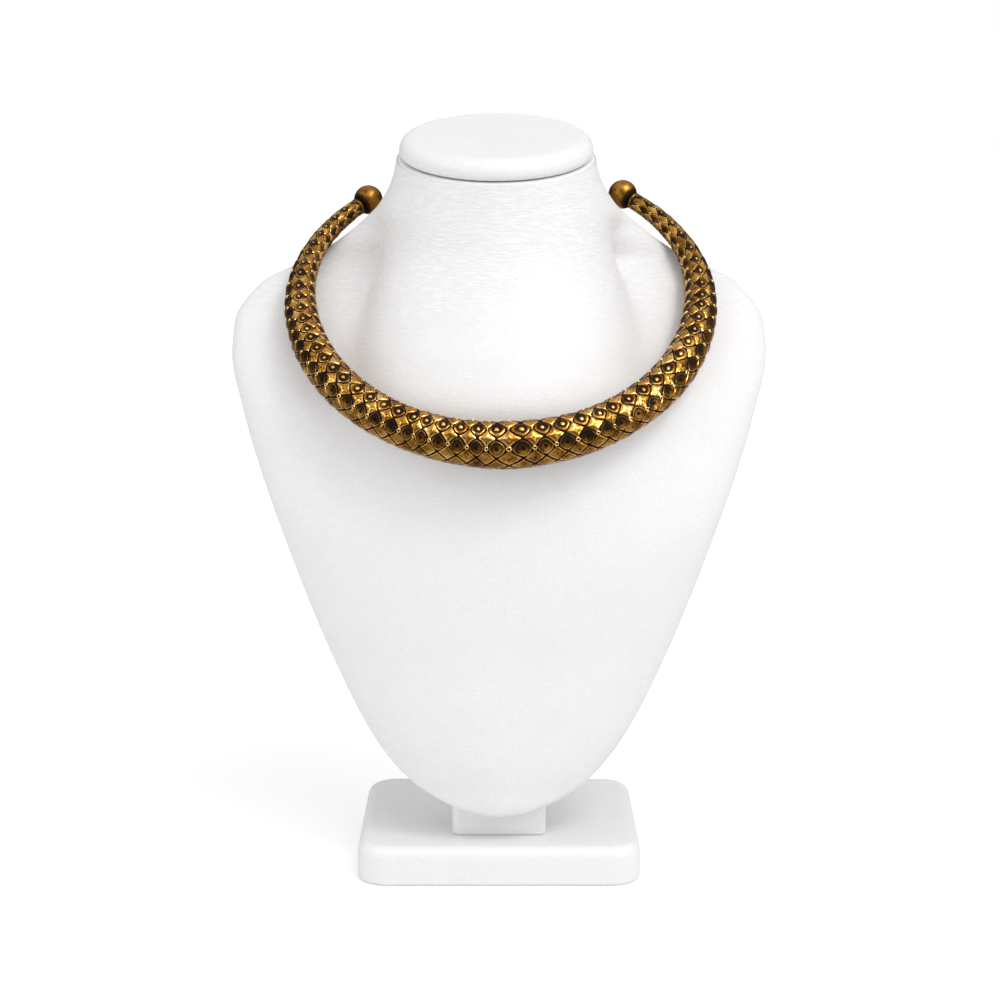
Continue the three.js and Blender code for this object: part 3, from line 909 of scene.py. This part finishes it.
def makePatinaGroup():
    tree, given, wanted = newGroup(
        "ShaderNodeTree",
        "brassPatina",
        [("Bare", "NodeSocketFloat", 0.0), ("Blotches", "NodeSocketFloat", 1.1)],
        [
            ("Color", "NodeSocketColor"),
            ("Roughness", "NodeSocketFloat"),
            ("Metallic", "NodeSocketFloat"),
            ("Height", "NodeSocketFloat"),
        ],
    )
    place = addNode(tree, "ShaderNodeTexCoord").outputs["Object"]
    blotch = noise(tree, place, patina["blotch"], 4.0)
    fine = noise(tree, place, patina["fine"], 3.0)
    cells = addNode(tree, "ShaderNodeTexVoronoi", None, Vector=place, Scale=patina["pit"]).outputs["Distance"]
    unpitted = spread(tree, given["Bare"], 0.9, 0.96, 1.0, 0.0)  # all but the barest metal
    pits = maths(tree, "MAXIMUM", spread(tree, cells, 0.12, 0.22), unpitted)
    mottle = maths(tree, "MULTIPLY_ADD", blotch, given["Blotches"], maths(tree, "MULTIPLY", fine, 0.35))
    worn = maths(tree, "ADD", given["Bare"], mottle)
    worn = spread(tree, worn, patina["darkest"], patina["brightest"])
    worn = maths(tree, "MULTIPLY", worn, spread(tree, pits, 0.0, 1.0, 0.25, 1.0))
    stops = [
        (0.0, (0.004, 0.0025, 0.0012)),
        (0.3, (0.035, 0.014, 0.003)),
        (0.55, (0.23, 0.096, 0.014)),
        (0.8, (0.57, 0.285, 0.05)),
        (1.0, (0.85, 0.59, 0.24)),
    ]
    tree.links.new(ramp(tree, worn, stops), wanted["Color"])
    rough = maths(tree, "MULTIPLY_ADD", fine, 0.16, spread(tree, worn, 0.0, 0.8, 0.62, 0.2))
    tree.links.new(rough, wanted["Roughness"])
    tree.links.new(spread(tree, worn, 0.05, 0.45, 0.4, 1.0), wanted["Metallic"])
    height = maths(tree, "MULTIPLY_ADD", pits, 0.8, maths(tree, "MULTIPLY", fine, 0.35))
    tree.links.new(height, wanted["Height"])
    return tree


patinaGroup = makePatinaGroup()


def makeBrass(name, blotches):
    material = bpy.data.materials.new(name)
    material.use_nodes = True
    tree = material.node_tree
    shader = tree.nodes["Principled BSDF"]
    # the bare attribute holds the tarnish and, on the tiles, the painted light on their lower sides
    bare = addNode(tree, "ShaderNodeAttribute", {"attribute_name": "bare"}).outputs["Fac"]
    group = addNode(tree, "ShaderNodeGroup", {"node_tree": patinaGroup}, Bare=bare, Blotches=blotches)
    tree.links.new(group.outputs["Color"], shader.inputs["Base Color"])
    tree.links.new(group.outputs["Roughness"], shader.inputs["Roughness"])
    tree.links.new(group.outputs["Metallic"], shader.inputs["Metallic"])
    addBump(tree, shader, group.outputs["Height"], patina["relief"])
    shader.inputs["Specular IOR Level"].default_value = 0.15
    return material


collarBrass = makeBrass("collarBrass", 1.1)
finialBrass = makeBrass("finialBrass", 0.5)


def makeCollar():
    guide = makeGuide()
    tiles = {kind: makeTile(kind) for kind in tileRings}
    tiles["granule"], tiles["bead"] = makeGranule(), makeBead()
    obj = makeLatticePoints()
    tree = makeReliefTree()
    values = {kind.capitalize(): tile for kind, tile in tiles.items()}
    values.update(
        {
            "Guide": guide,
            "Guide Steps": float(lattice["guideSteps"]),
            "Columns": float(columnCount),
            "Start Angle": math.radians(lattice["start"]),
            "Row Angle": math.pi / lattice["rows"],
            "Full Radius": collar["radius"],
            "Lowered": lattice["lowered"],
            "Wobble": lattice["wobble"],
            "Material": collarBrass,
        }
    )
    relief = obj.modifiers.new("relief", "NODES")
    relief.node_group = tree
    for socket in tree.interface.items_tree:
        if socket.in_out == "INPUT" and socket.name in values:
            relief[socket.identifier] = values[socket.name]
    bakeModifiers(obj)
    for helper in (guide, *tiles.values()):
        bpy.data.objects.remove(helper)
    addBore(obj)
    obj.data.transform(Matrix.Translation(collarPlace.translation * mm) @ collarPlace.to_3x3().to_4x4())
    obj.data.shade_smooth()
    return obj


finishPiece(makeCollar(), "collar_tube", collarBrass)


# Finials: stem, turned ring, neck and ball
def makeFinial(name, length, facing):
    stem = boreRadius(length) - finial["play"]
    half = finial["ringLength"] / 2
    profile = [(0, -finial["stem"]), (stem, -finial["stem"]), (stem, 0)]
    for step in range(finial["ringSteps"] + 1):
        turn = math.pi * (step / finial["ringSteps"] - 0.5)
        profile.append((finial["ring"] - half + half * math.cos(turn), half + half * math.sin(turn)))
    ballCentre = finialReach - finial["gap"]
    ballFrom = math.acos(finial["neck"] / finial["ball"])
    steps = finial["ballSteps"]
    for step in range(steps + 1):
        turn = -ballFrom + step / steps * (math.pi / 2 + ballFrom)
        radius = finial["ball"] * math.cos(turn) if step < steps else 0
        profile.append((radius, ballCentre + finial["ball"] * math.sin(turn)))
    points, faces = lathePoints(profile, finial["around"])
    point, along, _ = pathAt(length)
    axis = along * facing
    lean = Vector((0, 0, 1)).rotation_difference(axis).to_matrix().to_4x4()
    whole = collarPlace @ Matrix.Translation(point + axis * finial["gap"]) @ lean
    obj = makeObject(name, [whole @ Vector(p) for p in points], faces)
    tarnished = finial["ringLength"] + finial["tarnishPast"]
    clear = [min(1, abs(p[2] - tarnished) / finial["tarnishReach"]) for p in points]
    gain = finial["mostBare"] - finial["leastBare"]
    addBare(obj, [finial["leastBare"] + gain * share ** finial["barePower"] for share in clear])
    tidyMesh(obj, 50)
    return obj


finishPiece(makeFinial("finialLeft", tubeStart, -1), "finial_left", finialBrass)
finishPiece(makeFinial("finialRight", tubeEnd, 1), "finial_right", finialBrass)

# Floor, light and world
floor = makeObject("floor", [(-9, -4, 0), (9, -4, 0), (9, 30, 0), (-9, 30, 0)], [(0, 1, 2, 3)], 1)
floorPaint = bpy.data.materials.new("floorPaint")
floorPaint.use_nodes = True
floorTree = floorPaint.node_tree
floorShader = floorTree.nodes["Principled BSDF"]
# painted shade in reflections: glossy rays see the floor as darker grey, so the brass mirrors a dim floor;
# the camera sees it glow evenly white
mirrored = addNode(floorTree, "ShaderNodeLightPath").outputs["Is Glossy Ray"]
paleness = mix(floorTree, mirrored, 0.93, 0.45)
grey = addNode(floorTree, "ShaderNodeCombineColor", None, Red=paleness, Green=paleness, Blue=paleness)
floorTree.links.new(grey.outputs[0], floorShader.inputs["Base Color"])
seen = addNode(floorTree, "ShaderNodeLightPath").outputs["Is Camera Ray"]
floorTree.links.new(maths(floorTree, "MULTIPLY", seen, 0.16), floorShader.inputs["Emission Strength"])
floorShader.inputs["Emission Color"].default_value = (1, 1, 1, 1)
floorShader.inputs["Roughness"].default_value = 0.9
floor.data.materials.append(floorPaint)


def addLight(name, place, target, size, power, glintOnly=False):
    data = bpy.data.lights.new(name, "AREA")
    data.shape = "RECTANGLE"
    data.size, data.size_y = size
    data.energy = power
    light = bpy.data.objects.new(name, data)
    light.location = place
    light.rotation_euler = (Vector(target) - Vector(place)).to_track_quat("-Z", "Y").to_euler()
    light.visible_diffuse = not glintOnly
    scene.collection.objects.link(light)


sunData = bpy.data.lights.new("softSun", "SUN")
sunData.energy = 0.75
sunData.angle = math.radians(50)
sun = bpy.data.objects.new("softSun", sunData)
sun.rotation_euler = Vector((-0.6, 0.75, -1.0)).to_track_quat("-Z", "Y").to_euler()
scene.collection.objects.link(sun)
addLight("keyLight", (0.54, -0.58, 1.1), (0, 0, 0.2), (0.36, 0.36), 3.0)
addLight("fillLight", (-1.3, -0.7, 0.35), (0, 0, 0.13), (0.9, 0.9), 2.9)
addLight("keyGlint", (0.54, -0.58, 1.1), (0, 0, 0.2), (0.5, 0.5), 12, True)
addLight("leftGlint", (-0.75, -0.5, 0.8), (0, 0, 0.2), (0.16, 0.16), 2.4, True)
addLight("rightGlint", (1.1, -0.55, 0.45), (0, 0, 0.2), (0.22, 0.22), 4.2, True)

# Studio round the object: soft and even for the bust, dim at eye level for what the brass mirrors,
# white where the camera looks
world = bpy.data.worlds.new("studio")
world.use_nodes = True
scene.world = world
worldTree = world.node_tree
backdrop = worldTree.nodes["Background"]
backdrop.inputs["Color"].default_value = (1, 1, 1, 1)
direction = addNode(worldTree, "ShaderNodeTexCoord").outputs["Generated"]
sideways, _, climb = addNode(worldTree, "ShaderNodeSeparateXYZ", None, Vector=direction).outputs
rays = addNode(worldTree, "ShaderNodeLightPath").outputs
soft = spread(worldTree, climb, 0.05, 0.5, 0.52, 0.74)
soft = maths(worldTree, "MULTIPLY_ADD", maths(worldTree, "ABSOLUTE", sideways), 0.3, soft)
mirrored = spread(worldTree, climb, 0.3, 0.75, 0.06, 0.9)
unseen = mix(worldTree, rays["Is Glossy Ray"], soft, mirrored)
mixed = mix(worldTree, rays["Is Camera Ray"], unseen, 1.0)
worldTree.links.new(mixed, backdrop.inputs["Strength"])
scene.view_settings.view_transform = "Standard"
print("scene ready")
